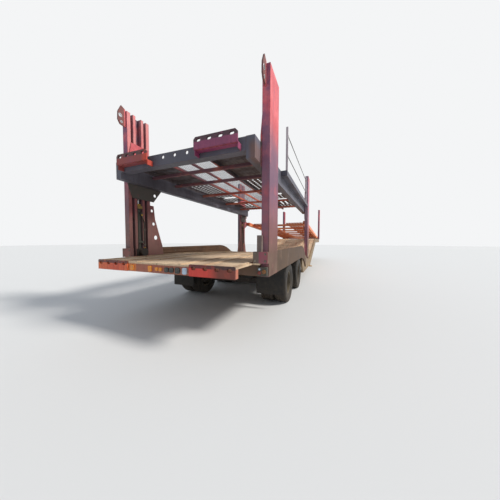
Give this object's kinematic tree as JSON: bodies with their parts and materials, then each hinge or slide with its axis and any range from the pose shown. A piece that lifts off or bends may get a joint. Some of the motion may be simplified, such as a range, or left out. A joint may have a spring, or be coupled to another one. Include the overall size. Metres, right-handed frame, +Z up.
{
  "type": "two-axle double-deck car transporter semi-trailer",
  "caption": "Double-deck car transporter semi-trailer with a lifting upper deck, a tilting front platform and a tandem axle, parked on its landing legs.",
  "frame": {"origin": "on the ground, on the centre line, halfway along the trailer", "axes": "+Y forward to the coupling, +X to the right, +Z up"},
  "size_m": [2.55, 13.3, 3.42],
  "materials": {
    "red_paint": "weathered, faded and dusty",
    "orange_paint": "weathered",
    "dusty_deck": "dust over worn paint",
    "underframe": "dark, dusty",
    "mesh_zinc": "zinc coated",
    "track_zinc": "dull zinc, dirty",
    "tyre": "dusty",
    "rim": "dusty",
    "cylinder": "oily",
    "rod": "polished",
    "rubber": "dull",
    "lamp": "dusty lens",
    "amber_lamp": "dusty lens",
    "dark_lamp": "dusty lens",
    "white_lamp": "dusty lens",
    "rope": "stranded",
    "leg_paint": "worn",
    "bare_steel": "greasy"
  },
  "bodies": {
    "chassis": {"air_springs": "rubber", "air_tanks": "cylinder", "axle_front": "underframe", "axle_rear": "underframe", "chassis_frame": "underframe", "coupling_plate": "bare_steel", "fender_band_left": "dusty_deck", "fender_band_right": "dusty_deck", "gooseneck_deck": "dusty_deck", "gooseneck_frame": "underframe", "kingpin": "bare_steel", "landing_leg_left": "leg_paint", "landing_leg_right": "leg_paint", "landing_shaft": "bare_steel", "lift_barrels": "cylinder", "lower_deck_rear": "dusty_deck", "lower_deck_well": "dusty_deck", "lower_ramp_brackets": "red_paint", "mudflaps": "rubber", "post_front_left": "red_paint", "post_front_right": "red_paint", "post_mid_left": "red_paint", "post_mid_right": "red_paint", "post_rear_left": "red_paint", "post_rear_right": "red_paint", "rear_beam": "red_paint", "side_girder_left": "underframe", "side_girder_right": "underframe", "strap_winches": "underframe", "suspension_arms": "underframe", "tail_lamps": "lamp", "tail_markers_amber": "amber_lamp", "tail_markers_dark": "dark_lamp", "tail_markers_white": "white_lamp", "valve_box": "underframe", "well_cross_members": "underframe"},
    "upper_deck": {"upper_side_beam_left": "red_paint", "upper_side_beam_right": "red_paint", "upper_tracks": "track_zinc", "upper_cross_members": "orange_paint", "upper_rear_beam": "underframe", "upper_ramp_brackets": "red_paint", "upper_centre_mesh": "mesh_zinc", "carriages": "underframe", "lift_rods": "rod", "handrail_posts": "red_paint", "handrail_ropes": "rope"},
    "front_platform": {"platform_side_beam_left": "orange_paint", "platform_side_beam_right": "orange_paint", "platform_tracks": "track_zinc", "platform_cross_members": "orange_paint"},
    "front_rods": {"front_lift_rods": "rod"},
    "wheels_rear_left": {"tyres_rear_left": "tyre", "wheel_rear_left": "rim"},
    "wheels_rear_right": {"tyres_rear_right": "tyre", "wheel_rear_right": "rim"},
    "wheels_front_left": {"tyres_front_left": "tyre", "wheel_front_left": "rim"},
    "wheels_front_right": {"tyres_front_right": "tyre", "wheel_front_right": "rim"}
  },
  "joints": [
    {"name": "upper_deck_lift", "type": "slide", "parent": "chassis", "child": "upper_deck", "axis": [0, 0, 1], "range_m": [-0.2, 0.45]},
    {"name": "platform_tilt", "type": "hinge", "parent": "chassis", "child": "front_platform", "pos_m": [0, -0.93, 1.9], "axis": [1, 0, 0], "range_deg": [0, 6]},
    {"name": "front_rod_slide", "type": "slide", "parent": "chassis", "child": "front_rods", "axis": [0, 0, 1], "range_m": [0, 0.77]},
    {"name": "wheel_spin_rear_left", "type": "hinge", "parent": "chassis", "child": "wheels_rear_left", "pos_m": [-0.975, -4.44, 0.395], "axis": [1, 0, 0], "continuous": true},
    {"name": "wheel_spin_rear_right", "type": "hinge", "parent": "chassis", "child": "wheels_rear_right", "pos_m": [0.975, -4.44, 0.395], "axis": [1, 0, 0], "continuous": true},
    {"name": "wheel_spin_front_left", "type": "hinge", "parent": "chassis", "child": "wheels_front_left", "pos_m": [-0.975, -3.13, 0.395], "axis": [1, 0, 0], "continuous": true},
    {"name": "wheel_spin_front_right", "type": "hinge", "parent": "chassis", "child": "wheels_front_right", "pos_m": [0.975, -3.13, 0.395], "axis": [1, 0, 0], "continuous": true}
  ],
  "couplings": [
    {"joint": "front_rod_slide", "follows": "platform_tilt", "m_per_rad": 7.283}
  ]
}
